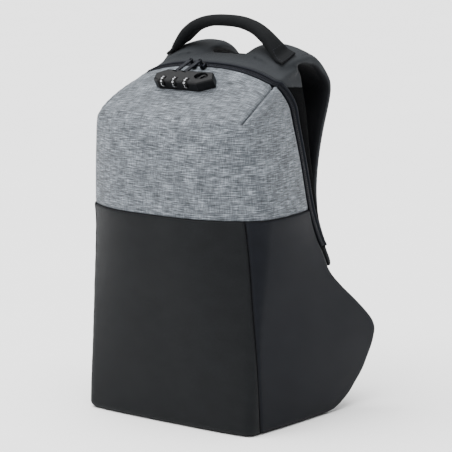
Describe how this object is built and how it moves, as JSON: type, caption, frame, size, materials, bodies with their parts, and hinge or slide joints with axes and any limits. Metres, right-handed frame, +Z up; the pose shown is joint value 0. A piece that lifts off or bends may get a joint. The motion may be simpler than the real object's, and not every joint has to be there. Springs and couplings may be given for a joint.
{
  "type": "anti theft backpack",
  "caption": "Upright day backpack with a padded shell in two cloths, hip wings, a zipper closed by a dial lock on the top slope, a carry handle and two shoulder straps.",
  "frame": {"origin": "middle of the box round the part, on the floor under the bag", "axes": "+Z up; -Y towards the front face with the lock; +Y towards the wearer's back; +X to the right seen from the front"},
  "size_m": [0.274, 0.2568, 0.4672],
  "materials": {
    "heather_cloth": "heather gray woven polyester, matte",
    "dark_cloth": "near black coated polyester, faint sheen",
    "side_cloth": "near black coated polyester with a navy cast",
    "yoke_cloth": "dark gray coated polyester over foam",
    "mesh_cloth": "black spacer mesh over foam",
    "zip_tape": "black woven zipper tape",
    "webbing": "black ribbed webbing",
    "lock_plastic": "black moulded plastic, satin",
    "dial_plastic": "black dials with pale numerals",
    "zip_metal": "black painted metal"
  },
  "bodies": {
    "bag": {"upper_panel": "heather_cloth", "lower_front_panel": "dark_cloth", "side_panel_left": "side_cloth", "side_panel_right": "side_cloth", "base_panel": "dark_cloth", "zipper_tape": "zip_tape", "zipper_piping": "side_cloth", "back_panel": "mesh_cloth", "gusset_left": "mesh_cloth", "gusset_right": "mesh_cloth", "yoke": "yoke_cloth", "shoulder_strap_left": "yoke_cloth", "shoulder_strap_right": "yoke_cloth", "ladder_lock_left": "lock_plastic", "ladder_lock_right": "lock_plastic", "strap_webbing_left": "webbing", "strap_webbing_right": "webbing", "carry_handle": "dark_cloth", "lock_body": "lock_plastic", "dial_axle": "zip_metal", "zip_pull_1": "zip_metal", "zip_pull_2": "zip_metal", "zip_slider_1": "zip_metal", "zip_slider_2": "zip_metal"},
    "dial_1": {"lock_dial_1": "dial_plastic"},
    "dial_2": {"lock_dial_2": "dial_plastic"},
    "dial_3": {"lock_dial_3": "dial_plastic"},
    "release": {"release_button": "lock_plastic"}
  },
  "joints": [
    {"name": "dial_1_turn", "type": "hinge", "parent": "bag", "child": "dial_1", "pos_m": [-0.0287, -0.0714, 0.39486], "axis": [1, 0, 0], "continuous": true},
    {"name": "dial_2_turn", "type": "hinge", "parent": "bag", "child": "dial_2", "pos_m": [-0.0119, -0.0714, 0.39486], "axis": [1, 0, 0], "continuous": true},
    {"name": "dial_3_turn", "type": "hinge", "parent": "bag", "child": "dial_3", "pos_m": [0.0049, -0.0714, 0.39486], "axis": [1, 0, 0], "continuous": true},
    {"name": "release_slide", "type": "slide", "parent": "bag", "child": "release", "axis": [-1, 0, 0], "range_m": [0, 0.004], "stiffness_N_per_m": 60}
  ]
}
